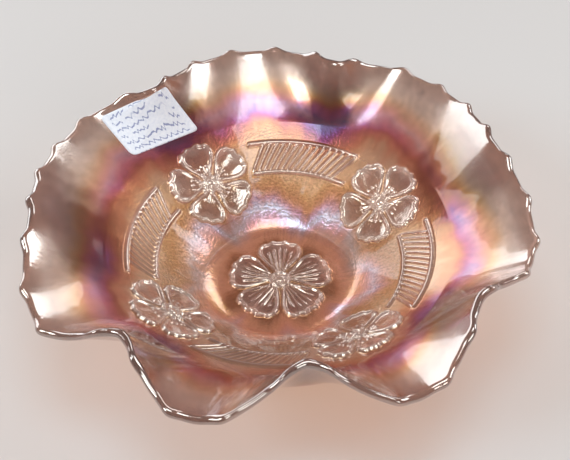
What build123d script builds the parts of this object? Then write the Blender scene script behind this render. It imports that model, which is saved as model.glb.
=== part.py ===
from build123d import *
import os
from math import atan2, cos, degrees, hypot, pi, radians, sin, tan

# A shallow pressed-glass bowl: collar foot, round well with a moulded blossom wreath, and a
# side wall crimped by hand into seven ruffles under a scalloped edge. Millimetres, +Z up,
# origin on the moulding axis in the plane that the foot rests on.

# Foot and well
FOOT_RADIUS = 37.0
FOOT_WIDTH = 4.5
FOOT_HEIGHT = 4.6
FOOT_EDGE_ROUNDING = 0.8
FLOOR_HEIGHT = 9.0
CONE_START_RADIUS = 27.3
CONE_SLOPE = radians(33)
FLOOR_BLEND_RADIUS = 18.0
WELL_RADIUS = 66.0
WALL_THICKNESS = 4.2

# Ruffled wall
RIM_THICKNESS = 3.4
EDGE_OVERHANG = 0.7 * RIM_THICKNESS
CREST_HEIGHT = 56.5
LOBE_HEIGHT = 48.5
RUFFLE_GROWTH = 1.15
CREST_TIGHTNESS = 0.85
SCALLOPS = 32
SCALLOP_RISE = 1.9
SCALLOP_SHARPNESS = 3
# Stations up the wall, from the well to the edge; the scallops begin at the last but one.
WALL_SHARES = (0, 0.22, 0.44, 0.66, 0.88, 1)
SECTIONS_PER_SCALLOP = 6
WALL_SECTORS = 8
# The crimping is done by hand: each ruffle has its own crest azimuth and reach, then the
# azimuth and reach of the lobe that follows it, going anticlockwise. A reach is measured to
# the outermost part of the edge between two scallops.
RUFFLES = (
    (18, 87, 56, 96),
    (71, 80, 97, 96),
    (128, 79, 145, 94),
    (184, 91, 212, 99),
    (230, 84, 252, 98.5),
    (276, 79, 298, 98),
    (324, 86, 344, 95),
)

# Relief: each height is measured square to the inside of the well
RELIEF_HEIGHT = 0.9
STAMEN_HEIGHT = 1.4
BOSS_HEIGHT = 2.3
ROOT_HEIGHT = 0.5
BOSS_SHARE = 0.17
PETALS = 5
CENTRE_FLOWER_RADIUS = 21.0
WREATH_FLOWER_RADIUS = 18.0
WREATH_FLOWERS = 4
WREATH_AZIMUTH = 34.0
WREATH_RADIUS = 49.0
BAND_INNER_RADIUS = 47.9
BAND_OUTER_RADIUS = 58.4
BAND_LINE_WIDTH = 1.4
BAND_HALF_ANGLE = 23.0
BAND_RIBS = 15
BAND_RIB_WIDTH = 1.1
BAND_RIB_LEAN = 33.0

# Paper label
# Its four corners in plan, as radius and azimuth: two by the edge, then two down the wall.
LABEL_CORNERS = ((90.0, 142.5), (77.5, 124.5), (67.8, 118.0), (72.0, 144.0))
LABEL_CORNER_ROUNDING = 2.5
LABEL_THICKNESS = 0.3
LABEL_CLEARANCE = 0.35


def on_axis_plane(radius, height, azimuth):
    """A point given by its distance from the axis, its height and its azimuth in radians."""
    return Vector(radius * cos(azimuth), radius * sin(azimuth), height)


def polar(radius, azimuth_deg):
    angle = radians(azimuth_deg)
    return (radius * cos(angle), radius * sin(angle))


# ---------------------------------------------------------------- foot and well


def cone_height(radius):
    return FLOOR_HEIGHT + (radius - CONE_START_RADIUS) * tan(CONE_SLOPE)


def inner_profile(raise_by):
    """Floor, blend and cone of the inside, raised along its normal: four points."""
    flat_end = CONE_START_RADIUS - FLOOR_BLEND_RADIUS * tan(CONE_SLOPE / 2)
    radius = FLOOR_BLEND_RADIUS - raise_by
    centre_height = FLOOR_HEIGHT + FLOOR_BLEND_RADIUS
    blend_end = (flat_end + radius * sin(CONE_SLOPE), centre_height - radius * cos(CONE_SLOPE))
    blend_mid = (
        flat_end + radius * sin(CONE_SLOPE / 2),
        centre_height - radius * cos(CONE_SLOPE / 2),
    )
    edge = (WELL_RADIUS, cone_height(WELL_RADIUS) + raise_by / cos(CONE_SLOPE))
    return (0, FLOOR_HEIGHT + raise_by), (flat_end, FLOOR_HEIGHT + raise_by), blend_mid, blend_end, edge


def inner_lines(raise_by):
    axis, flat_end, blend_mid, blend_end, edge = inner_profile(raise_by)
    return [
        Line(axis, flat_end),
        ThreePointArc(flat_end, blend_mid, blend_end),
        Line(blend_end, edge),
    ]


def turned(lines):
    """The solid of revolution about the axis of a closed outline in radius and height."""
    outline = make_face(lines)
    return revolve(Plane.XZ * outline, Axis.Z)


def make_well():
    drop = WALL_THICKNESS / cos(CONE_SLOPE)
    path = Polyline(
        (WELL_RADIUS, cone_height(WELL_RADIUS)),
        (WELL_RADIUS, cone_height(WELL_RADIUS) - drop),
        (FOOT_RADIUS, cone_height(FOOT_RADIUS) - drop),
        (FOOT_RADIUS, FOOT_HEIGHT),
        (0, FOOT_HEIGHT),
        (0, FLOOR_HEIGHT),
    )
    return turned(inner_lines(0) + [path])


def make_foot():
    ring = Cylinder(FOOT_RADIUS, FOOT_HEIGHT, align=(Align.CENTER, Align.CENTER, Align.MIN))
    ring -= Cylinder(
        FOOT_RADIUS - FOOT_WIDTH, FOOT_HEIGHT, align=(Align.CENTER, Align.CENTER, Align.MIN)
    )
    return fillet(ring.edges().group_by(Axis.Z)[0], FOOT_EDGE_ROUNDING)


# ---------------------------------------------------------------- ruffled wall


def edge_stops():
    """The crests and lobes in turn, once round: azimuth, reach of the inside line, height."""
    stops = []
    for crest, crest_reach, lobe, lobe_reach in RUFFLES:
        stops.append((crest, crest_reach - EDGE_OVERHANG, CREST_HEIGHT))
        stops.append((lobe, lobe_reach - EDGE_OVERHANG, LOBE_HEIGHT))
    first_azimuth, first_reach, first_height = stops[0]
    return stops + [(first_azimuth + 360, first_reach, first_height)]


def rim_at(azimuth_deg):
    """Reach and height of the edge, without scallops: the crests are tighter than the lobes."""
    stops = edge_stops()
    first = stops[0][0]
    angle = (azimuth_deg - first) % 360 + first
    for (start, reach_a, height_a), (end, reach_b, height_b) in zip(stops, stops[1:]):
        if angle <= end:
            step = (angle - start) / (end - start)
            rising = height_b > height_a
            step = 1 - (1 - step) ** CREST_TIGHTNESS if rising else step**CREST_TIGHTNESS
            share = (1 - cos(pi * step)) / 2
            return reach_a + (reach_b - reach_a) * share, height_a + (height_b - height_a) * share


def scallop_at(azimuth_deg):
    """How far the edge stands out: short round points between long shallow hollows."""
    swing = (1 + cos(radians(azimuth_deg) * SCALLOPS)) / 2
    return SCALLOP_RISE * swing**SCALLOP_SHARPNESS


MEAN_REACH = sum(row[1] + row[3] for row in RUFFLES) / (2 * len(RUFFLES)) - EDGE_OVERHANG
MEAN_HEIGHT = (CREST_HEIGHT + LOBE_HEIGHT) / 2


def wall_point(azimuth_deg, share):
    """Radius and height on the inside of the wall: share 0 at the well, 1 at the edge."""
    reach, height = rim_at(azimuth_deg)
    ruffle = share**RUFFLE_GROWTH
    start = cone_height(WELL_RADIUS)
    radius = WELL_RADIUS + (MEAN_REACH - WELL_RADIUS) * share + (reach - MEAN_REACH) * ruffle
    level = start + (MEAN_HEIGHT - start) * share + (height - MEAN_HEIGHT) * ruffle
    return radius, level


def wall_normal(azimuth_deg, share):
    """Unit normal to the section's inside line, pointing into the bowl."""
    step = 0.01
    low = wall_point(azimuth_deg, max(share - step, 0))
    high = wall_point(azimuth_deg, min(share + step, 1))
    run, rise = high[0] - low[0], high[1] - low[1]
    length = hypot(run, rise)
    return -rise / length, run / length


def wall_section(azimuth_deg):
    """The wall's closed outline in the plane through the axis at this azimuth."""
    angle = radians(azimuth_deg)
    stand_out = scallop_at(azimuth_deg)
    inside, outside = [], []
    for share in WALL_SHARES:
        radius, level = wall_point(azimuth_deg, share)
        lean, lift = wall_normal(azimuth_deg, share)
        thick = WALL_THICKNESS + (RIM_THICKNESS - WALL_THICKNESS) * share
        if share == 1:
            radius += stand_out * lift
            level -= stand_out * lean
        inside.append(on_axis_plane(radius, level, angle))
        if share == 0:
            outside.append(on_axis_plane(radius, level - thick / cos(CONE_SLOPE), angle))
        else:
            outside.append(on_axis_plane(radius - thick * lean, level - thick * lift, angle))
        if share == 1:
            tip_radius = radius - thick * lean / 2 + thick * lift / 2
            tip_level = level - thick * lift / 2 - thick * lean / 2
            tip = on_axis_plane(tip_radius, tip_level, angle)
    outline = Wire(
        [
            Edge.make_spline(inside, parameters=WALL_SHARES),
            ThreePointArc(inside[-1], tip, outside[-1]),
            Edge.make_spline(outside, parameters=WALL_SHARES),
            Line(outside[0], inside[0]),
        ]
    )
    return Face(outline)


def make_wall():
    """Sector by sector round the axis, then sewn into one closed skin."""
    count = SCALLOPS * SECTIONS_PER_SCALLOP
    per_sector = count // WALL_SECTORS
    skin = []
    for sector in range(WALL_SECTORS):
        first = sector * per_sector
        sections = [wall_section((first + i) * 360 / count) for i in range(per_sector + 1)]
        skin += [face for face in loft(sections).faces() if face.geom_type != GeomType.PLANE]
    return Solid(Shell(skin))


# ---------------------------------------------------------------- relief


def relief_layer(low, high):
    """The skin between these two heights over the whole inside of the well."""
    bottom = inner_profile(low)
    top = inner_profile(high)
    return turned(
        inner_lines(low) + inner_lines(high) + [Line(bottom[0], top[0]), Line(bottom[-1], top[-1])]
    )


def upright(sketch):
    """The sketch in plan, carried up through the whole depth of the well."""
    return extrude(sketch, amount=CREST_HEIGHT)


def petal(length, turn_deg):
    """One broad blossom petal with a notched tip, from the blossom's centre."""
    outline = (
        (0.10, 0),
        (0.42, 27),
        (0.78, 32),
        (0.99, 19),
        (0.94, 0),
        (0.99, -19),
        (0.78, -32),
        (0.42, -27),
    )
    points = [polar(share * length, turn_deg + angle) for share, angle in outline]
    return make_face(Spline(*points, periodic=True))


def petal_stamens(length, turn_deg, offsets):
    """Fine straight stamens that fan out over a petal."""
    bars = Sketch()
    for offset in offsets:
        angle = turn_deg + offset
        bar = Pos(*polar(0.42 * length, angle)) * Rot(0, 0, angle) * Rectangle(0.40 * length, 0.7)
        bars += bar
    return bars


def blossom(length, offsets):
    """Plan sketches of a whole blossom: its joined petals, its stamens and its boss."""
    petals = Circle(BOSS_SHARE * length)
    stamens = Sketch()
    for i in range(PETALS):
        turn = i * 360 / PETALS
        petals += petal(length, turn)
        stamens += petal_stamens(length, turn, offsets)
    return petals, stamens, Circle(0.85 * BOSS_SHARE * length)


def raised(petals, stamens, boss):
    """The blossom's solid: it lies face to face on the well, its finer parts rooted in it."""
    solid = relief_layer(0, RELIEF_HEIGHT) & upright(petals)
    solid += relief_layer(ROOT_HEIGHT, STAMEN_HEIGHT) & upright(stamens)
    solid += relief_layer(ROOT_HEIGHT, BOSS_HEIGHT) & upright(boss)
    return solid


def make_band(middle_deg):
    """One leaf band: two border lines and the slanted ribs between them."""
    half_line = BAND_LINE_WIDTH / 2
    band = Sketch()
    for radius in (BAND_INNER_RADIUS, BAND_OUTER_RADIUS):
        band += Circle(radius + half_line) - Circle(radius - half_line)
    mid_radius = (BAND_INNER_RADIUS + BAND_OUTER_RADIUS) / 2
    width = BAND_OUTER_RADIUS - BAND_INNER_RADIUS
    rib_length = width / cos(radians(BAND_RIB_LEAN)) + BAND_LINE_WIDTH / 2
    reach = BAND_HALF_ANGLE - degrees(atan2(width / 2 * tan(radians(BAND_RIB_LEAN)), mid_radius))
    for i in range(BAND_RIBS):
        azimuth = middle_deg - reach + 2 * reach * i / (BAND_RIBS - 1)
        place = Pos(*polar(mid_radius, azimuth)) * Rot(0, 0, azimuth - BAND_RIB_LEAN)
        band += place * Rectangle(rib_length, BAND_RIB_WIDTH)
    far = 2 * WELL_RADIUS
    window = make_face(
        Polyline(
            (0, 0),
            polar(far, middle_deg - BAND_HALF_ANGLE),
            polar(far, middle_deg + BAND_HALF_ANGLE),
            (0, 0),
        )
    )
    return relief_layer(0, RELIEF_HEIGHT) & upright(band & window)


# ---------------------------------------------------------------- label


def label_section(azimuth_deg):
    angle = radians(azimuth_deg)
    under, over = [], []
    for share in (0.02, 0.25, 0.5, 0.75, 0.98):
        radius, level = wall_point(azimuth_deg, share)
        lean, lift = wall_normal(azimuth_deg, share)
        for side, gap in ((under, LABEL_CLEARANCE), (over, LABEL_CLEARANCE + LABEL_THICKNESS)):
            side.append(on_axis_plane(radius + gap * lean, level + gap * lift, angle))
    rounds = [Spline(*under), Line(under[-1], over[-1]), Spline(*reversed(over)), Line(over[0], under[0])]
    return Face(Wire(rounds))


def make_label():
    """A thin sheet that follows the inside of the wall, trimmed to a rounded square."""
    azimuths = [azimuth for _, azimuth in LABEL_CORNERS]
    first, last = min(azimuths) - 3, max(azimuths) + 3
    sheet = loft([label_section(first + (last - first) * i / 10) for i in range(11)])
    corners = [polar(radius, azimuth) for radius, azimuth in LABEL_CORNERS]
    outline = make_face(Polyline(*corners, corners[0]))
    outline = fillet(outline.vertices(), LABEL_CORNER_ROUNDING)
    return sheet & upright(outline)


# ---------------------------------------------------------------- assembly


def main():
    parts = {
        "collar_foot": make_foot(),
        "bowl_well": make_well(),
        "ruffled_wall": make_wall(),
        "price_label": make_label(),
    }

    turn = Rot(0, 0, 90)
    sketches = blossom(CENTRE_FLOWER_RADIUS, (-18, -9, 0, 9, 18))
    parts["centre_flower"] = raised(*[turn * sketch for sketch in sketches])

    sketches = blossom(WREATH_FLOWER_RADIUS, (-16, 0, 16))
    flat = [scale(sketch, by=(cos(CONE_SLOPE), 1, 1)) for sketch in sketches]
    for i in range(WREATH_FLOWERS):
        azimuth = WREATH_AZIMUTH + i * 360 / WREATH_FLOWERS
        place = Pos(*polar(WREATH_RADIUS, azimuth)) * Rot(0, 0, azimuth)
        parts[f"wreath_flower_{i + 1}"] = raised(*[place * sketch for sketch in flat])
        parts[f"wreath_band_{i + 1}"] = make_band(azimuth + 180 / WREATH_FLOWERS)

    os.makedirs("parts", exist_ok=True)
    for name, solid in parts.items():
        export_step(solid, f"parts/{name}.step")
        print(name, "volume", round(solid.volume), "solids", len(solid.solids()))


if __name__ == "__main__":
    main()
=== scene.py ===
from math import cos, pi, radians, sin, tan

import bpy
import numpy as np
from mathutils import Matrix, Vector


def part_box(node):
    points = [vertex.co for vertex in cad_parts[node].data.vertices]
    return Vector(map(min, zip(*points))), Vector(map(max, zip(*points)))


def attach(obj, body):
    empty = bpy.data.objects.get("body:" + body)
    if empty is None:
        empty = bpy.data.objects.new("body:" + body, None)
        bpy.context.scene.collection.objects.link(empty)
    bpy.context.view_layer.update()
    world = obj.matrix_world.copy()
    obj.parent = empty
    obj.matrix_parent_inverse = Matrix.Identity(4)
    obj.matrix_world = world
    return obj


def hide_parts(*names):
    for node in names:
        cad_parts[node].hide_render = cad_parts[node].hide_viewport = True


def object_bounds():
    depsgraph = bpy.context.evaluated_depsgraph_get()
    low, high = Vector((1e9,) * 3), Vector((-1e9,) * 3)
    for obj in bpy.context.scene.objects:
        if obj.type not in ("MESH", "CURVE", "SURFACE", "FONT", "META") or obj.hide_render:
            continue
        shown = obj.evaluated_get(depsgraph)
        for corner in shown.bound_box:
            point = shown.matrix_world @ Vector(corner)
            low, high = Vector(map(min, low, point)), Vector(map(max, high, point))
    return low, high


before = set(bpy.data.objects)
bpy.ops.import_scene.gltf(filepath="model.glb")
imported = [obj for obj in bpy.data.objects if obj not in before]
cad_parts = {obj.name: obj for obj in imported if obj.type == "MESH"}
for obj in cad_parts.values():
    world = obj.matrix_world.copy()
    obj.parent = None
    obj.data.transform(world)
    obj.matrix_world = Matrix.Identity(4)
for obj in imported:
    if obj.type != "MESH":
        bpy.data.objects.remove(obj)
cad_low, cad_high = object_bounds()

# ---------------------------------------------------------------- the shape, in millimetres

MM = 0.001


def top_corner(node):
    """Highest corner of a CAD node's box."""
    return np.array(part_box(node)[1]) / MM


FOOT_RADIUS, _, FOOT_HEIGHT = top_corner("collar_foot")
WELL_RADIUS = top_corner("bowl_well")[0]
FOOT_WIDTH = 4.5
FOOT_EDGE = 0.8
FLOOR_HEIGHT = 9.0
CONE_START = 27.3
SLOPE = radians(33)
BLEND_RADIUS = 18.0
WALL_THICKNESS = 4.2
RIM_THICKNESS = 3.4
EDGE_OVERHANG = 0.7 * RIM_THICKNESS
CREST_HEIGHT = 56.5
LOBE_HEIGHT = 48.5
RUFFLE_GROWTH = 1.15
CREST_TIGHTNESS = 0.85
SCALLOPS = 32
SCALLOP_RISE = 1.86
SCALLOP_SHARPNESS = 3
SCALLOP_START = 0.84
# Each ruffle: crest azimuth and reach, then the azimuth and reach of the lobe after it.
RUFFLES = (
    (18, 87, 56, 96),
    (71, 80, 97, 96),
    (128, 79, 145, 94),
    (184, 91, 212, 99),
    (230, 84, 252, 98.5),
    (276, 79, 298, 98),
    (324, 86, 344, 95),
)
CENTRE_FLOWER = 21.0
WREATH_FLOWER = 18.0
WREATH_AZIMUTH = 34.0
WREATH_RADIUS = 49.0
BAND_INNER = 47.9
BAND_OUTER = 58.4
BAND_MIDDLE = (BAND_INNER + BAND_OUTER) / 2
BAND_HALF_ANGLE = 23.0
BAND_LEAN = radians(33)
BAND_RIBS = 15
# Columns of the glass skin round the rim and on the foot; the ribs fall on whole columns.
RIM_COLUMNS = 768
FLOOR_COLUMNS = 384
COLUMNS_PER_RIB = 6
RIB_PITCH = COLUMNS_PER_RIB * 360 / RIM_COLUMNS
# The label's four corners in plan, as radius and azimuth.
LABEL_CORNERS = ((90.0, 142.5), (77.5, 124.5), (67.8, 118.0), (72.0, 144.0))
LABEL_ROUNDING = 2.5
LABEL_CLEARANCE = 0.35
LABEL_THICKNESS = 0.3

STOPS = []
for crest, crest_reach, lobe, lobe_reach in RUFFLES:
    STOPS.append((crest, crest_reach - EDGE_OVERHANG, CREST_HEIGHT))
    STOPS.append((lobe, lobe_reach - EDGE_OVERHANG, LOBE_HEIGHT))
STOPS.append((STOPS[0][0] + 360, STOPS[0][1], STOPS[0][2]))
STOPS = np.array(STOPS)
MEAN_REACH = STOPS[:-1, 1].mean()
MEAN_HEIGHT = (CREST_HEIGHT + LOBE_HEIGHT) / 2
FLAT_END = CONE_START - BLEND_RADIUS * tan(SLOPE / 2)
BLEND_END = FLAT_END + BLEND_RADIUS * sin(SLOPE)


def smooth(x):
    x = np.clip(x, 0, 1)
    return x * x * (3 - 2 * x)


def hump(x, half_width):
    """A rounded ridge, 1 at its middle and flat at half_width from it."""
    return 1 - smooth(np.abs(x) / half_width)


def comb(phase, half_width, last):
    """Rounded ridges at the whole numbers of the phase, up to last on either side."""
    nearest = np.round(phase)
    return hump(phase - nearest, half_width) * (np.abs(nearest) <= last)


def cone_height(radius):
    return FLOOR_HEIGHT + (radius - CONE_START) * tan(SLOPE)


def inner_height(radius):
    """Height of the inside of the well at this radius."""
    arc = np.sqrt(np.maximum(BLEND_RADIUS**2 - (radius - FLAT_END) ** 2, 0))
    blend = FLOOR_HEIGHT + BLEND_RADIUS - arc
    height = np.where(radius < FLAT_END, FLOOR_HEIGHT, blend)
    return np.where(radius > BLEND_END, cone_height(radius), height)


def inner_tilt(radius):
    """Angle of the well's inside from level."""
    return np.arcsin(np.clip((radius - FLAT_END) / BLEND_RADIUS, 0, sin(SLOPE)))


def rim_at(azimuth):
    """Reach and height of the edge, without scallops: the crests are tighter than the lobes."""
    angle = (azimuth - STOPS[0, 0]) % 360 + STOPS[0, 0]
    i = np.clip(np.searchsorted(STOPS[:, 0], angle, side="right") - 1, 0, len(STOPS) - 2)
    step = np.clip((angle - STOPS[i, 0]) / (STOPS[i + 1, 0] - STOPS[i, 0]), 0, 1)
    rising = STOPS[i + 1, 2] > STOPS[i, 2]
    step = np.where(rising, 1 - (1 - step) ** CREST_TIGHTNESS, step**CREST_TIGHTNESS)
    share = (1 - np.cos(pi * step)) / 2
    reach = STOPS[i, 1] + (STOPS[i + 1, 1] - STOPS[i, 1]) * share
    height = STOPS[i, 2] + (STOPS[i + 1, 2] - STOPS[i, 2]) * share
    return reach, height


def wall_point(azimuth, share):
    """Radius and height on the inside of the wall: share 0 at the well, 1 at the edge."""
    reach, height = rim_at(azimuth)
    ruffle = share**RUFFLE_GROWTH
    start = cone_height(WELL_RADIUS)
    radius = WELL_RADIUS + (MEAN_REACH - WELL_RADIUS) * share + (reach - MEAN_REACH) * ruffle
    level = start + (MEAN_HEIGHT - start) * share + (height - MEAN_HEIGHT) * ruffle
    return radius, level


def wall_normal(azimuth, share):
    """Unit normal of the wall's inside line, pointing into the bowl."""
    step = 0.01
    low = wall_point(azimuth, np.maximum(share - step, 0))
    high = wall_point(azimuth, np.minimum(share + step, 1))
    run, rise = high[0] - low[0], high[1] - low[1]
    length = np.hypot(run, rise)
    return -rise / length, run / length


def scallop_at(azimuth):
    return SCALLOP_RISE * ((1 + np.cos(np.radians(azimuth) * SCALLOPS)) / 2) ** SCALLOP_SHARPNESS


# ---------------------------------------------------------------- relief, in millimetres

# Heights off the ground of the well
PETAL_ROOT, PETAL_RISE, PETAL_RIPPLE = 0.38, 0.40, 0.07
LIP_ROOT, LIP_RISE = 0.34, 0.42
FOLD_HEIGHT = 0.16
VEIN_HEIGHT = 0.46
STAMEN_HEIGHT = 0.45
ANTHER_HEIGHT = 0.55
BOSS_HEIGHT, DOME_RISE, RING_RISE = 0.75, 0.95, 0.85
BEAD_HEIGHT = 1.55
BORDER_HEIGHT = 0.95
RIB_HEIGHT = 0.8

# Half widths and sizes of its lines
LIP_HALF_WIDTH = 1.15
LIP_INSET = 0.80
ANTHER_RADIUS = 0.85
BEAD_RADIUS = 0.95
BORDER_HALF_WIDTH = 1.15
RIB_HALF_WIDTH = 0.42

VEIN_SPACING = 9.5
STAMEN_SPACING = 15.0
STAMEN_LENGTH = 0.43
FOLD_ANGLE = 24.0
PETAL_RIPPLES = 9
WREATH_BEADS = 8
# Radius of the boss as a share of its blossom, and sizes on it as shares of the boss
BOSS_SHARE = 0.20
DOME_SHARE, RING_SHARE, RING_HALF_SHARE, BEADS_SHARE = 0.55, 0.80, 0.26, 1.15
# Relief is worked out this far past a blossom's radius.
BLOSSOM_MARGIN = 1.04
# One petal's outline, as share of the blossom's radius and angle from the petal's middle.
PETAL = (
    (0.10, 0),
    (0.28, 30),
    (0.50, 34),
    (0.70, 34),
    (0.86, 29),
    (0.950, 21),
    (0.945, 15),
    (0.985, 8),
    (0.955, 1),
    (0.990, -7),
    (0.950, -14),
    (0.960, -21),
    (0.86, -29),
    (0.70, -34),
    (0.50, -34),
    (0.28, -30),
)
# Each second petal lies over its neighbours.
PETAL_ORDER = (0, 2, 4, 1, 3)


def polar(radius, azimuth):
    """A point in plan, from its radius and its azimuth in degrees."""
    return radius * np.array([cos(radians(azimuth)), sin(radians(azimuth))])


def closed_curve(points, per_span=10):
    """A smooth closed line through the points (Catmull-Rom)."""
    before, after, second = (np.roll(points, s, axis=0) for s in (1, -1, -2))
    out = []
    for t in np.linspace(0, 1, per_span, endpoint=False):
        straight = 2 * points + (after - before) * t
        bend = (2 * before - 5 * points + 4 * after - second) * t * t
        twist = (3 * points - before - 3 * after + second) * t**3
        out.append(0.5 * (straight + bend + twist))
    return np.stack(out, axis=1).reshape(-1, 2)


def segment_distance(p, a, b):
    along = b - a
    t = np.clip(((p - a) @ along) / (along @ along), 0, 1)
    return np.hypot(*(p - a - t[:, None] * along).T)


def inside_distance(p, outline):
    """Distance in from the outline, negative outside it."""
    nearest = np.full(len(p), np.inf)
    inside = np.zeros(len(p), bool)
    for a, b in zip(outline, np.roll(outline, -1, axis=0)):
        nearest = np.minimum(nearest, segment_distance(p, a, b))
        if b[1] == a[1]:
            continue
        spans = (a[1] > p[:, 1]) != (b[1] > p[:, 1])
        inside ^= spans & (p[:, 0] < a[0] + (p[:, 1] - a[1]) * (b[0] - a[0]) / (b[1] - a[1]))
    return np.where(inside, nearest, -nearest)


def vein_height(angle, run):
    """Long veins that fan out over a petal of the centre blossom."""
    phase = angle / VEIN_SPACING + 0.35 * (run - 0.5) * np.sign(angle)
    along = smooth((run - 0.20) / 0.08) * smooth((0.84 - np.abs(angle) * 0.004 - run) / 0.12)
    return VEIN_HEIGHT * comb(phase, 0.36, 2) * along


def stamen_height(q, length, angle, run, depth):
    """Three stamens on a wreath blossom's petal, and the fold along each of its sides."""
    along = smooth((run - 0.10) / 0.05) * smooth((0.42 - run) / 0.06)
    height = STAMEN_HEIGHT * comb(angle / STAMEN_SPACING, 0.26, 1) * along
    for k in (-1, 0, 1):
        tip = polar(STAMEN_LENGTH * length, STAMEN_SPACING * k)
        height += ANTHER_HEIGHT * hump(np.hypot(*(q - tip).T), ANTHER_RADIUS)
    fold = hump(np.abs(angle) / FOLD_ANGLE - 1, 0.5) * smooth((run - 0.5) / 0.2)
    return height + FOLD_HEIGHT * fold * smooth(depth / 1.5)


def blossom_height(p, length, veined, beads):
    """Height of a five-petalled blossom over points in its own plan, first petal on +X."""
    height = np.zeros(len(p))
    reach = np.hypot(*p.T)
    run = reach / length
    outline = closed_curve(np.array([polar(share * length, angle) for share, angle in PETAL]))
    lip = LIP_ROOT + LIP_RISE * smooth(run / 0.9)
    for i in PETAL_ORDER:
        turn = 2 * pi * i / len(PETAL_ORDER)
        c, s = cos(turn), sin(turn)
        q = p @ np.array([[c, -s], [s, c]])
        depth = inside_distance(q, outline)
        angle = np.degrees(np.arctan2(q[:, 1], q[:, 0]))
        ripple = PETAL_RIPPLE * np.cos(np.radians(angle) * PETAL_RIPPLES) * smooth(run / 0.6)
        cup = PETAL_ROOT + PETAL_RISE * smooth((run - 0.45) / 0.5) + ripple
        petal = cup * smooth((depth + 0.25) / 0.9) + lip * hump(depth - LIP_INSET, LIP_HALF_WIDTH)
        if veined:
            petal += vein_height(angle, run)
        else:
            petal += stamen_height(q, length, angle, run, depth)
        height = np.where(depth > -0.28, petal, height)
    boss = BOSS_SHARE * length
    dome = np.sqrt(np.clip(1 - (reach / (DOME_SHARE * boss)) ** 2, 0, 1))
    ring = hump(reach - RING_SHARE * boss, RING_HALF_SHARE * boss)
    middle = BOSS_HEIGHT + np.maximum(DOME_RISE * dome, RING_RISE * ring)
    middle = middle * smooth((1.06 * boss - reach) / 0.35)
    height = np.where(reach < 1.05 * boss, np.maximum(height, middle), height)
    for i in range(beads):
        away = np.hypot(*(p - polar(BEADS_SHARE * boss, 360 * (i + 0.5) / beads)).T)
        bead = np.sqrt(np.clip(1 - (away / BEAD_RADIUS) ** 2, 0, 1))
        height = np.maximum(height, BEAD_HEIGHT * bead)
    return height


def relief_height(x, y):
    """Height of the moulded wreath and blossoms, square to the inside of the well."""
    radius, azimuth = np.hypot(x, y), np.degrees(np.arctan2(y, x))
    height = np.zeros(len(x))
    p = np.stack([x, y], 1)
    near = radius < CENTRE_FLOWER * BLOSSOM_MARGIN
    first_petal_up = np.array([[0, -1], [1, 0]])
    height[near] = blossom_height(p[near] @ first_petal_up, CENTRE_FLOWER, True, 0)
    between = smooth((radius - BAND_INNER) / 0.5 + 0.5) * smooth((BAND_OUTER - radius) / 0.5 + 0.5)
    lean = np.degrees(tan(BAND_LEAN) * np.log(np.maximum(radius, 1) / BAND_MIDDLE))
    for k in range(4):
        off = (azimuth - WREATH_AZIMUTH - 90 * (k + 0.5) + 180) % 360 - 180
        window = smooth((BAND_HALF_ANGLE + 0.6 - np.abs(off)) / 1.2)
        for line in (BAND_INNER, BAND_OUTER):
            border = hump(radius - line, BORDER_HALF_WIDTH)
            height = np.maximum(height, window * BORDER_HEIGHT * border)
        ribs = comb((off + lean) / RIB_PITCH, RIB_HALF_WIDTH, BAND_RIBS // 2)
        height = np.maximum(height, window * RIB_HEIGHT * ribs * between)
    for k in range(4):
        out = polar(1, WREATH_AZIMUTH + 90 * k)
        side = np.array([-out[1], out[0]])
        q = p - WREATH_RADIUS * out
        own = np.stack([q @ out / cos(SLOPE), q @ side], 1)
        near = np.hypot(*own.T) < WREATH_FLOWER * BLOSSOM_MARGIN
        bloom = blossom_height(own[near], WREATH_FLOWER, False, WREATH_BEADS)
        height[near] = np.where(bloom > 0.02, bloom, height[near])
    return height


# ---------------------------------------------------------------- the glass, as one closed skin

# Columns of a ring inside the well, up to a radius
FINER_OUTWARDS = ((1.3, 48), (3.5, 96), (9, 192), (27, FLOOR_COLUMNS), (WELL_RADIUS, RIM_COLUMNS))
# Rings inside the well: end radius and about the step, finer where there is relief
WELL_RUNS = ((4.5, 0.30), (21.9, 0.36), (33.0, 0.9), (65.6, 0.36))
WALL_SHARES = np.concatenate([np.linspace(0, 0.80, 22), np.linspace(0.82, 0.985, 9), [1.0]])
EDGE_RINGS = 11
# Below this share the outside of the wall has half the columns.
OUTSIDE_HALVED = 0.78
# Turn of a rib goes on this far past the band's borders.
LEAN_MARGIN = 1.5
BEND_RINGS = 6
FOOT_RINGS = 8
UNDERSIDE_RINGS = 26
BASE_RINGS = 14
GLASS_VALUES = ("level", "lobe", "relief", "inside")


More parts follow.
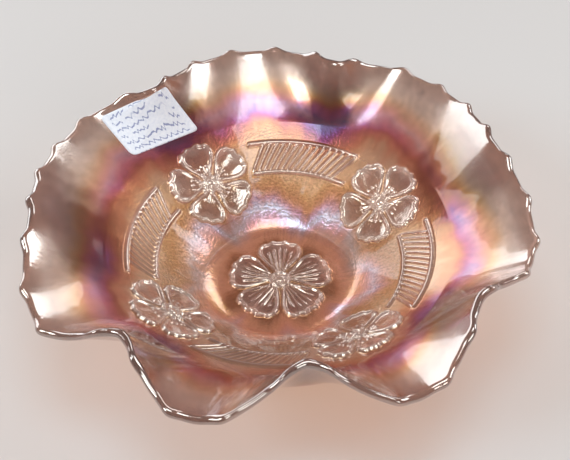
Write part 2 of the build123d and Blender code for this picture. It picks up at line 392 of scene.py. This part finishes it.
class Skin:
    """Rings of points round the axis, each sewn to the last; a ring may double or halve the count.
    Values kept for the material: level is 0 at the axis, 0.5 at the well's edge and 1 at the rim;
    lobe is 0 on a crest and 1 on a lobe; relief is half the relief's height."""

    def __init__(self):
        self.points, self.faces, self.count, self.last = [], [], 0, None
        self.values = {key: [] for key in GLASS_VALUES}

    def ring(self, azimuth, radius, z, level, inside, relief=0.0):
        """Add a ring; radius, z and relief are one number or one for each azimuth."""
        a = np.radians(azimuth)
        place = np.broadcast_arrays(radius * np.cos(a), radius * np.sin(a), z)
        self.points.append(np.stack(place, 1))
        lobe = (CREST_HEIGHT - rim_at(azimuth)[1]) / (CREST_HEIGHT - LOBE_HEIGHT)
        for key, value in zip(GLASS_VALUES, (level, lobe, relief, inside)):
            self.values[key].append(np.broadcast_to(value, len(a)))
        ids = np.arange(self.count, self.count + len(a))
        self.count += len(a)
        if self.last is not None:
            self.join(self.last, ids)
        self.last = ids

    def point(self, z, inside, relief=0.0):
        """Close the skin, or begin it, with a point on the axis."""
        self.ring(np.zeros(1), 0.0, z, 0.0, inside, relief)

    def face(self, *corners):
        self.faces += np.stack(corners, 1).tolist()

    def join(self, a, b):
        """Faces from ring a to the next ring b."""
        a2, b2 = np.roll(a, -1), np.roll(b, -1)
        if len(a) == 1:
            self.face(np.full(len(b), a[0]), b, b2)
        elif len(b) == 1:
            self.face(a, np.full(len(a), b[0]), a2)
        elif len(a) == len(b):
            self.face(a, b, b2, a2)
        elif len(b) == 2 * len(a):
            even, odd = b[0::2], b[1::2]
            self.face(a, even, odd)
            self.face(a, odd, a2)
            self.face(a2, odd, np.roll(even, -1))
        else:
            even, odd = a[0::2], a[1::2]
            self.face(even, b, odd)
            self.face(odd, b, b2)
            self.face(odd, b2, np.roll(even, -1))


def lean_at(radius):
    """Turn of the columns, so that they run along the ribs inside the bands."""
    r = np.clip(radius, BAND_INNER - LEAN_MARGIN, BAND_OUTER + LEAN_MARGIN)
    base = (WREATH_AZIMUTH + 45) % (360 / RIM_COLUMNS)
    return base - np.degrees(tan(BAND_LEAN) * np.log(r / BAND_MIDDLE))


def azimuths(count, radius):
    return lean_at(radius) + np.arange(count) * 360 / count


def stations(*runs):
    """Radii in even steps: each run is (end, about the step)."""
    out, at = [], 0.0
    for end, step in runs:
        n = max(1, round((end - at) / step))
        out += list(at + (end - at) * (np.arange(n) + 1) / n)
        at = end
    return out


def add_well(skin):
    """The inside of the well with its relief, from the axis to the wall."""
    skin.point(FLOOR_HEIGHT + BOSS_HEIGHT + DOME_RISE, 1, (BOSS_HEIGHT + DOME_RISE) / 2)
    for radius in stations(*WELL_RUNS):
        columns = next(count for end, count in FINER_OUTWARDS if radius < end)
        az = azimuths(columns, radius)
        a = np.radians(az)
        height = relief_height(radius * np.cos(a), radius * np.sin(a))
        height = height * smooth((WELL_RADIUS - radius) / 1.2)
        tilt = inner_tilt(radius)
        z = inner_height(radius) + height * np.cos(tilt)
        skin.ring(az, radius - height * np.sin(tilt), z, 0.5 * radius / WELL_RADIUS, 1, height / 2)


def add_wall(skin):
    """Up the inside of the wall, round its edge and down the outside."""
    az = azimuths(RIM_COLUMNS, WELL_RADIUS)
    outside = []
    for share in WALL_SHARES:
        radius, height = wall_point(az, share)
        lean, lift = wall_normal(az, share)
        # The fire-polished edge is drawn out at each point of the scallops.
        out = scallop_at(az) * smooth((share - SCALLOP_START) / (1 - SCALLOP_START)) ** 1.2
        radius = radius + out * lift
        height = height - out * lean
        if share < 1:
            skin.ring(az, radius, height, 0.5 + 0.5 * share, 1)
        thick = WALL_THICKNESS + (RIM_THICKNESS - WALL_THICKNESS) * share
        outside.append((radius - thick * lean, height - thick * lift, share))
    half = RIM_THICKNESS / 2
    middle, middle_height = radius - half * lean, height - half * lift
    for step in np.linspace(0, pi, EDGE_RINGS):
        edge = middle + half * (lean * cos(step) + lift * sin(step))
        z = middle_height + half * (lift * cos(step) - lean * sin(step))
        skin.ring(az, edge, z, 1.0, 1 if step < pi / 2 else 0.5)
    for radius, height, share in outside[-2:0:-1]:
        every = 1 if share > OUTSIDE_HALVED else 2
        skin.ring(az[::every], radius[::every], height[::every], 0.5 + 0.5 * share, 0)


def underside():
    """Radius, height and columns of the rings from the well's edge over the foot to the axis."""
    drop = WALL_THICKNESS / cos(SLOPE)
    top = cone_height(FOOT_RADIUS) - drop
    inner_foot = FOOT_RADIUS - FOOT_WIDTH
    quarter = np.linspace(0, pi / 2, BEND_RINGS)
    cone = np.linspace(WELL_RADIUS, FOOT_RADIUS + 0.9, UNDERSIDE_RINGS)
    rings = [(radius, cone_height(radius) - drop) for radius in cone]
    rings += [(FOOT_RADIUS + 0.35, top - 0.05), (FOOT_RADIUS + 0.08, top - 0.45)]
    rings += [(FOOT_RADIUS, z) for z in np.linspace(top - 0.9, FOOT_EDGE, FOOT_RINGS)]
    for t in quarter[1:]:
        rings.append((FOOT_RADIUS - FOOT_EDGE * (1 - cos(t)), FOOT_EDGE * (1 - sin(t))))
    for t in quarter:
        rings.append((inner_foot + FOOT_EDGE * (1 - sin(t)), FOOT_EDGE * (1 - cos(t))))
    rings += [(inner_foot, z) for z in np.linspace(FOOT_EDGE, FOOT_HEIGHT - 0.5, BEND_RINGS)[1:]]
    rings += [(inner_foot - 0.12, FOOT_HEIGHT - 0.15), (inner_foot - 0.5, FOOT_HEIGHT)]
    rings = [(radius, z, FLOOR_COLUMNS) for radius, z in rings]
    base = np.linspace(inner_foot - 1.5, 10, BASE_RINGS)
    rings += [(radius, FOOT_HEIGHT, FLOOR_COLUMNS // 2) for radius in base]
    return rings + [(radius, FOOT_HEIGHT, FLOOR_COLUMNS // 4) for radius in (6.0, 3.0)]


def build_glass():
    skin = Skin()
    add_well(skin)
    add_wall(skin)
    for radius, z, columns in underside():
        skin.ring(azimuths(columns, WELL_RADIUS), radius, z, 0.5 * radius / WELL_RADIUS, 0)
    skin.point(FOOT_HEIGHT, 0)
    return skin


# ---------------------------------------------------------------- the label's sheet

LABEL_RINGS = 14
CORNER_POINTS = 7
HALVINGS = 24


def label_corners():
    return np.array([polar(radius, azimuth) for radius, azimuth in LABEL_CORNERS])


def line_distance(p, a, b):
    """Distance from the endless line through a and b."""
    square = np.array([a[1] - b[1], b[0] - a[0]]) / np.hypot(*(b - a))
    return np.abs((p - a) @ square)


def label_outline():
    """The label's rounded outline in plan."""
    corners = label_corners()
    out = []
    for before, here, after in zip(np.roll(corners, 1, axis=0), corners, np.roll(corners, -1, axis=0)):
        u = (before - here) / np.hypot(*(before - here))
        v = (after - here) / np.hypot(*(after - here))
        for t in np.linspace(0, 1, CORNER_POINTS):
            out.append(here + LABEL_ROUNDING * (u * (1 - t) ** 2 + v * t**2))
    return np.array(out)


def share_at(azimuth, radius):
    """Share up the wall above this point in plan, found by halving."""
    low, high = np.zeros(len(radius)), np.ones(len(radius))
    for _ in range(HALVINGS):
        middle = (low + high) / 2
        short = wall_point(azimuth, middle)[0] < radius
        low = np.where(short, middle, low)
        high = np.where(short, high, middle)
    return (low + high) / 2


def disc_faces(rings, count):
    """Faces of rings of points about a first one in the middle."""
    faces = []
    for i in range(count):
        j = (i + 1) % count
        faces.append([0, 1 + i, 1 + j])
        for ring in range(1, rings):
            near, far = 1 + (ring - 1) * count, 1 + ring * count
            faces.append([near + i, far + i, far + j, near + j])
    return faces


def build_label():
    """Points and faces of the sheet, and how far down and across the paper each point is."""
    outline = label_outline()
    centre = outline.mean(0)
    scales = (np.arange(1, LABEL_RINGS + 1) / LABEL_RINGS) ** 0.9
    plan = np.concatenate([centre[None, :]] + [centre + (outline - centre) * k for k in scales])
    azimuth = np.degrees(np.arctan2(plan[:, 1], plan[:, 0]))
    share = share_at(azimuth, np.hypot(*plan.T))
    radius, height = wall_point(azimuth, share)
    lean, lift = wall_normal(azimuth, share)
    a = np.radians(azimuth)
    points = []
    for gap in (LABEL_CLEARANCE + LABEL_THICKNESS, LABEL_CLEARANCE):
        r, z = radius + gap * lean, height + gap * lift
        points.append(np.stack([r * np.cos(a), r * np.sin(a), z], 1))
    count, back = len(outline), len(plan)
    front = disc_faces(LABEL_RINGS, count)
    faces = front + [[back + i for i in reversed(face)] for face in front]
    last = back - count
    for i in range(count):
        j = (i + 1) % count
        faces.append([last + i, back + last + i, back + last + j, last + j])
    corners = label_corners()
    edges = zip(corners, np.roll(corners, -1, axis=0))
    top, right, bottom, left = (line_distance(plan, a, b) for a, b in edges)
    # The pen is on the front only: the back keeps to the blank margin.
    across = np.concatenate([left / (left + right), np.zeros(back)])
    return np.concatenate(points), faces, np.tile(top / (top + bottom), 2), across


# ---------------------------------------------------------------- material helpers


def srgb(*levels):
    """A colour given as display levels out of 255."""
    out = []
    for level in levels:
        c = level / 255
        out.append(c / 12.92 if c <= 0.04045 else ((c + 0.055) / 1.055) ** 2.4)
    return tuple(out)


class Tree:
    """A material's nodes, with short ways to add one and take its output. A value given for a
    socket is a number, a colour or another node's output."""

    def __init__(self, name):
        self.material = bpy.data.materials.new(name)
        self.material.use_nodes = True
        self.nodes = self.material.node_tree.nodes
        self.links = self.material.node_tree.links
        self.nodes.clear()

    def feed(self, socket, value):
        if isinstance(value, bpy.types.NodeSocket):
            self.links.new(value, socket)
        elif isinstance(value, tuple):
            socket.default_value = (*value, 1)
        else:
            socket.default_value = value

    def add(self, kind, inputs=(), **settings):
        node = self.nodes.new("ShaderNode" + kind)
        for key, value in settings.items():
            setattr(node, key, value)
        for key, value in dict(inputs).items():
            self.feed(node.inputs[key], value)
        return node

    def attribute(self, name):
        return self.add("Attribute", attribute_name=name).outputs["Fac"]

    def maths(self, operation, *values):
        return self.add("Math", enumerate(values), operation=operation).outputs[0]

    def less(self, value, amount):
        """1 where the value is 0, falling by amount where it is 1."""
        return self.maths("MULTIPLY_ADD", value, -amount, 1.0)

    def noise(self, vector, scale, detail):
        return self.add("TexNoise", {"Vector": vector, "Scale": scale, "Detail": detail}).outputs["Fac"]

    def mix(self, factor, a, b, blend_type="MIX"):
        inputs = {"Factor": factor, "A": a, "B": b}
        return self.add("Mix", inputs, data_type="RGBA", blend_type=blend_type).outputs["Result"]

    def ramp(self, factor, *stops):
        """Straight runs between the stops, each a place and a number or a colour."""
        node = self.add("ValToRGB", {"Fac": factor})
        elements = node.color_ramp.elements
        while len(elements) < len(stops):
            elements.new(0.5)
        for element, (at, value) in zip(elements, stops):
            element.position = at
            element.color = (*value, 1) if isinstance(value, tuple) else (value, value, value, 1)
        return node.outputs["Color"]

    def bump(self, height, strength, distance, **under):
        inputs = {"Height": height, "Strength": strength, "Distance": distance, **under}
        return self.add("Bump", inputs).outputs["Normal"]

    def finish(self, shader):
        self.add("OutputMaterial", {"Surface": shader})
        return self.material


# ---------------------------------------------------------------- marigold lustre glass

# Each run goes by level: 0 at the axis, 0.5 at the well's edge, 1 at the rim. Over the glass's marigold
# tint the runs paint in the lustre's iridescent bands as painted sheen.
WELL_TINT_AND_SHEEN = (
    (0.00, srgb(200, 156, 132)),
    (0.08, srgb(158, 102, 80)),
    (0.14, srgb(180, 114, 90)),
    (0.168, srgb(234, 172, 146)),
    (0.205, srgb(244, 180, 158)),
    # The near-white ring from here is a painted highlight.
    (0.235, srgb(238, 190, 180)),
    (0.262, srgb(230, 218, 216)),
    (0.285, srgb(210, 168, 144)),
    (0.32, srgb(174, 114, 86)),
    (0.355, srgb(178, 118, 92)),
    (0.372, srgb(206, 158, 136)),
    (0.435, srgb(206, 156, 136)),
    (0.465, srgb(194, 112, 92)),
)
# Lobes: the marigold tint with painted iridescent sheen, made milky-pale by painted reflection of a
# bright sky.
LOBE_TINT_AND_SHEEN = (
    (0.505, srgb(176, 86, 70)),
    (0.545, srgb(198, 104, 92)),
    (0.585, srgb(212, 132, 124)),
    (0.62, srgb(222, 164, 160)),
    (0.655, srgb(230, 164, 148)),
    (0.715, srgb(232, 176, 148)),
    (0.79, srgb(226, 186, 166)),
    (0.90, srgb(210, 172, 154)),
    (1.00, srgb(202, 158, 138)),
)
# Crests: the marigold tint darkened with painted shade.
CREST_TINT_AND_SHADE = (
    (0.505, srgb(142, 58, 46)),
    (0.58, srgb(126, 46, 38)),
    (0.64, srgb(136, 58, 50)),
    (0.70, srgb(122, 54, 42)),
    (0.80, srgb(126, 60, 44)),
    (0.90, srgb(154, 88, 68)),
    (1.00, srgb(190, 136, 114)),
)
PETAL_COLOUR = srgb(178, 122, 98)
# Relief crowns: clear where the lustre is worn off, and near-white as painted highlight.
CROWN_WEAR_AND_GLINT = srgb(240, 226, 216)
SIDE_TINT = srgb(236, 196, 178)
SHADOW_COLOUR = srgb(222, 196, 172)
# How metallic the lustre is
LUSTRE = (
    (0.00, 0.12),
    (0.20, 0.20),
    (0.262, 0.42),
    (0.33, 0.12),
    (0.47, 0.18),
    (0.60, 0.40),
    (0.72, 0.30),
    (0.86, 0.16),
    (1.0, 0.03),
)
# Roughness
SATIN = (
    (0.00, 0.16),
    (0.20, 0.18),
    (0.28, 0.30),
    (0.40, 0.30),
    (0.52, 0.22),
    (0.62, 0.27),
    (0.90, 0.27),
    (1.0, 0.07),
)
# Thickness of the film, in micrometres: white when thin, then gold, rose and blue
FILM = (
    (0.00, 0.100),
    (0.15, 0.104),
    (0.20, 0.109),
    (0.235, 0.131),
    (0.262, 0.156),
    (0.285, 0.135),
    (0.31, 0.112),
    (0.36, 0.101),
    (0.45, 0.103),
    (0.50, 0.126),
    (0.54, 0.150),
    (0.585, 0.160),
    (0.63, 0.142),
    (0.68, 0.126),
    (0.74, 0.098),
    (0.80, 0.080),
    (0.88, 0.071),
    (1.00, 0.067),
)
GOLD_FILM = 0.105
RELIEF_FILM = 72.0
NANOMETRES = 1000.0
# How strongly the ground is stippled
STIPPLE = (
    (0.20, 0.10),
    (0.26, 0.5),
    (0.29, 1.0),
    (0.355, 1.0),
    (0.375, 0.45),
    (0.46, 0.25),
    (0.52, 0.05),
)


def glass_material():
    tree = Tree("marigold_lustre_glass")
    maths, ramp = tree.maths, tree.ramp
    place = tree.add("TexCoord").outputs["Object"]
    level, lobe, relief, inside = (tree.attribute("bowl_" + key) for key in GLASS_VALUES)
    # Crowns of the relief: worn clear of lustre, with painted highlight on top.
    crown_wear_and_glint = ramp(relief, (0.31, 0.0), (0.41, 0.65), (0.58, 1.0))
    raised = ramp(relief, (0.0, 0.0), (0.25, 1.0))

    # Streaks that run up the wall: noise over the heading from the axis, stretched along it.
    split = tree.add("SeparateXYZ", {0: place}).outputs
    flat = tree.add("CombineXYZ", {"X": split["X"], "Y": split["Y"]}).outputs[0]
    heading = tree.add("VectorMath", {0: flat}, operation="NORMALIZE").outputs[0]
    heading = tree.add("SeparateXYZ", {0: heading}).outputs
    along = {"X": heading["X"], "Y": heading["Y"], "Z": maths("MULTIPLY", level, 0.5)}
    sweep = tree.add("CombineXYZ", along).outputs[0]
    streaks = tree.noise(sweep, 9.0, 5.0)
    fine_streaks = tree.noise(sweep, 34.0, 3.0)
    clouds = tree.noise(place, 30.0, 3.0)

    # The bands of colour wander, and bow up towards the rim in the lobes.
    drift = maths("MULTIPLY_ADD", clouds, 0.20, -0.10)
    drift = maths("ADD", drift, maths("MULTIPLY_ADD", streaks, 0.14, -0.07))
    drift = maths("ADD", drift, maths("MULTIPLY_ADD", lobe, -0.10, 0.055))
    drift = maths("MULTIPLY", drift, ramp(level, (0.46, 0.55), (0.56, 1.0), (0.90, 0.6)))
    drifted = maths("ADD", level, drift)

    # Colour: on the wall, crests darkened with painted shade and lobes made milky with painted
    # reflection; brown petals with bright crowns, lightened by wear and by painted highlight.
    lobe_sheen_mask = maths("ADD", lobe, maths("MULTIPLY_ADD", streaks, 1.0, -0.5))
    lobe_sheen_mask = ramp(lobe_sheen_mask, (0.28, 0.0), (0.64, 1.0))
    wall_colour = tree.mix(lobe_sheen_mask, ramp(drifted, *CREST_TINT_AND_SHADE), ramp(drifted, *LOBE_TINT_AND_SHEEN))
    on_wall = ramp(drifted, (0.475, 0.0), (0.505, 1.0))
    colour = tree.mix(on_wall, ramp(drifted, *WELL_TINT_AND_SHEEN), wall_colour)
    colour = tree.mix(maths("MULTIPLY", raised, 0.72), colour, PETAL_COLOUR)
    colour = tree.mix(crown_wear_and_glint, colour, CROWN_WEAR_AND_GLINT)

    # The colour is darker and more orange along the -Y side, most on the wall.
    side = maths("MULTIPLY_ADD", heading["Y"], -0.5, 0.5)
    side_tint = ramp(side, (0.62, 0.0), (0.90, 0.75))
    side_tint = maths("MULTIPLY", side_tint, ramp(level, (0.45, 0.25), (0.60, 1.0), (0.9, 0.8)))
    colour = tree.mix(side_tint, colour, SIDE_TINT, "MULTIPLY")
    worn = ramp(fine_streaks, (0.30, 0.80), (0.62, 1.0))
    colour = tree.mix(1.0, colour, worn, "MULTIPLY")
    grains = tree.noise(place, 1000.0, 1.5)
    speckle = ramp(grains, (0.36, 0.62), (0.60, 1.12))
    stipple = maths("MULTIPLY", ramp(level, *STIPPLE), tree.less(raised, 0.85))
    colour = tree.mix(stipple, colour, speckle, "MULTIPLY")

    lustre = maths("MULTIPLY", ramp(drifted, *LUSTRE), tree.less(raised, 0.85))
    lustre = maths("MULTIPLY", lustre, ramp(streaks, (0.36, 0.55), (0.60, 1.0)))
    lustre = maths("MULTIPLY", lustre, maths("MULTIPLY_ADD", inside, 0.75, 0.25))
    satin = maths("MULTIPLY", ramp(level, *SATIN), tree.less(raised, 0.6))

    # Only in patches is the film thick enough to turn from gold and rose to blue.
    film = ramp(drifted, *FILM)
    patches = ramp(tree.noise(place, 24.0, 2.0), (0.42, 0.30), (0.60, 1.0))
    thick = maths("MAXIMUM", maths("SUBTRACT", film, GOLD_FILM), 0.0)
    film = maths("ADD", maths("MINIMUM", film, GOLD_FILM), maths("MULTIPLY", thick, patches))
    film = maths("MULTIPLY", film, maths("MULTIPLY_ADD", raised, -NANOMETRES, NANOMETRES))
    film = maths("MULTIPLY_ADD", raised, RELIEF_FILM, film)

    ripple = tree.bump(tree.noise(place, 95.0, 1.0), 0.22, 0.0006)
    streaked = tree.bump(fine_streaks, 0.10, 0.0004, Normal=ripple)
    stippled = tree.bump(grains, stipple, 0.00045, Normal=streaked)
    inputs = {
        "Base Color": colour,
        "Metallic": lustre,
        "Roughness": satin,
        "IOR": 1.52,
        "Transmission Weight": 0.86,
        "Coat Weight": 1.0,
        "Coat Roughness": 0.05,
        "Thin Film IOR": 2.1,
        "Thin Film Thickness": film,
        "Normal": stippled,
        "Coat Normal": ripple,
    }
    glass = tree.add("BsdfPrincipled", inputs).outputs["BSDF"]
    clear = tree.add("BsdfTransparent", {"Color": SHADOW_COLOUR}).outputs["BSDF"]
    shadow = tree.add("LightPath").outputs["Is Shadow Ray"]
    return tree.finish(tree.add("MixShader", {"Fac": shadow, 1: glass, 2: clear}).outputs["Shader"])


# ---------------------------------------------------------------- label paper

PEN_ROWS = 6.4
PEN_WAVES = 78.0
PEN_STRENGTH = 0.75
INK = srgb(104, 116, 168)


def label_material():
    tree = Tree("label_paper")
    maths, ramp = tree.maths, tree.ramp
    place = tree.add("TexCoord").outputs["Object"]
    grain = tree.noise(place, 900.0, 4.0)
    paper = ramp(grain, (0.30, srgb(236, 239, 246)), (0.70, srgb(252, 253, 255)))

    # Rows of a plain wavering pen line, with gaps in them: no letters or figures.
    down, across = tree.attribute("label_down"), tree.attribute("label_across")
    rows = maths("MULTIPLY", down, PEN_ROWS)
    row = maths("FLOOR", rows)
    spot = tree.add("CombineXYZ", {"X": across, "Y": maths("MULTIPLY", row, 0.37)}).outputs[0]
    sway = tree.noise(spot, 11.0, 1.0)
    swing = maths("MULTIPLY_ADD", across, PEN_WAVES, maths("MULTIPLY", sway, 14.0))
    swing = maths("MULTIPLY", maths("SINE", swing), maths("MULTIPLY_ADD", sway, 0.5, -0.07))
    off = maths("SUBTRACT", maths("SUBTRACT", rows, row), maths("ADD", swing, 0.5))
    pen = ramp(maths("ABSOLUTE", off), (0.0, 1.0), (0.07, 1.0), (0.13, 0.0))
    words = ramp(tree.noise(spot, 6.0, 0.0), (0.40, 0.0), (0.43, 1.0))
    margin = ramp(across, (0.07, 0.0), (0.09, 1.0), (0.90, 1.0), (0.92, 0.0))
    drawn = maths("MULTIPLY", maths("MULTIPLY", pen, words), margin)
    inputs = {
        "Base Color": tree.mix(maths("MULTIPLY", drawn, PEN_STRENGTH), paper, INK),
        "Roughness": 0.62,
        "Specular IOR Level": 0.35,
        "Normal": tree.bump(grain, 0.25, 0.00006),
    }
    return tree.finish(tree.add("BsdfPrincipled", inputs).outputs["BSDF"])


# ---------------------------------------------------------------- the pieces


def mesh_object(name, points, faces, **values):
    """A smooth-shaded mesh, with values kept for each of its points."""
    mesh = bpy.data.meshes.new(name)
    mesh.from_pydata((np.array(points) * MM).tolist(), [], faces)
    mesh.validate()
    mesh.shade_smooth()
    for key, value in values.items():
        attribute = mesh.attributes.new(key, "FLOAT", "POINT")
        attribute.data.foreach_set("value", np.asarray(value, np.float32))
    piece = bpy.data.objects.new(name, mesh)
    bpy.context.scene.collection.objects.link(piece)
    return piece


skin = build_glass()
values = {"bowl_" + key: np.concatenate(rows) for key, rows in skin.values.items()}
bowl = mesh_object("pressed_glass_bowl", np.concatenate(skin.points), skin.faces, **values)
bowl.data.materials.append(glass_material())
GLASS_NODES = ["collar_foot", "bowl_well", "ruffled_wall", "centre_flower"]
GLASS_NODES += [f"wreath_flower_{i}" for i in range(1, 5)] + [f"wreath_band_{i}" for i in range(1, 5)]
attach(bowl, "root")
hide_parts(*GLASS_NODES)

points, faces, down, across = build_label()
label = mesh_object("price_label_sheet", points, faces, label_down=down, label_across=across)
label.data.materials.append(label_material())
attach(label, "root")
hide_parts("price_label")

# ---------------------------------------------------------------- floor, light and camera

FLOOR_HALF = 2200.0
FLOOR_GAP = 0.0002
corners = [(FLOOR_HALF * x, FLOOR_HALF * y, 0) for x, y in ((-1, -1), (1, -1), (1, 1), (-1, 1))]
floor = mesh_object("studio_floor", corners, [(0, 1, 2, 3)])
floor.location.z = cad_low.z - FLOOR_GAP
pale = Tree("pale_floor")
matte = pale.add("BsdfPrincipled", {"Base Color": srgb(214, 208, 202), "Roughness": 0.6})
floor.data.materials.append(pale.finish(matte.outputs["BSDF"]))

world = bpy.data.worlds.new("studio_world")
world.use_nodes = True
world.node_tree.nodes["Background"].inputs["Color"].default_value = (0.80, 0.82, 0.86, 1)
world.node_tree.nodes["Background"].inputs["Strength"].default_value = 0.24
bpy.context.scene.world = world
bpy.context.scene.view_settings.view_transform = "Standard"

# Soft lights: name, place, height aimed at, width, height, watts and colour
LIGHTS = (
    ("window_right", (1.0, 0.25, 0.60), 0.03, 0.50, 0.50, 4.0, (0.95, 0.97, 1.0)),
    ("window_left", (-0.85, -0.40, 0.85), 0.03, 0.40, 0.45, 5.5, (0.91, 0.95, 1.0)),
    ("pale_wall", (-0.80, 1.00, 0.42), 0.03, 1.30, 0.65, 7.8, (0.93, 0.96, 1.0)),
    ("window_back", (0.45, 0.95, 0.75), 0.03, 0.45, 0.35, 1.7, (0.95, 0.97, 1.0)),
    ("overhead", (0.0, -0.12, 1.2), 0.0, 0.60, 0.45, 4.4, (0.90, 0.94, 1.0)),
    ("front_fill", (0.5, -0.95, 0.70), 0.03, 0.50, 0.50, 3.4, (0.93, 0.96, 1.0)),
)
for name, place, aim_height, width, height, watts, colour in LIGHTS:
    data = bpy.data.lights.new(name, "AREA")
    data.shape = "RECTANGLE"
    data.size, data.size_y = width, height
    data.energy = watts
    data.color = colour
    light = bpy.data.objects.new(name, data)
    bpy.context.scene.collection.objects.link(light)
    light.location = place
    light.visible_camera = False
    light.rotation_mode = "QUATERNION"
    towards = Vector((0, 0, aim_height)) - Vector(place)
    light.rotation_quaternion = towards.to_track_quat("-Z", "Y")

EYE = Vector((0.0, -0.3327, 0.3852))
LOOK_AT = Vector((0.0025, 0.0359, 0.0))
ROLL = radians(-1.01)
camera_data = bpy.data.cameras.new("camera")
camera_data.sensor_width = 36.0
camera_data.lens = 80.4
camera_data.clip_start = 0.01
camera_data.clip_end = 20.0
camera = bpy.data.objects.new("camera", camera_data)
bpy.context.scene.collection.objects.link(camera)
camera.location = EYE
aim = (LOOK_AT - EYE).to_track_quat("-Z", "Y").to_matrix()
camera.rotation_euler = (aim @ Matrix.Rotation(ROLL, 3, "Z")).to_euler()
bpy.context.scene.camera = camera

bpy.context.view_layer.update()
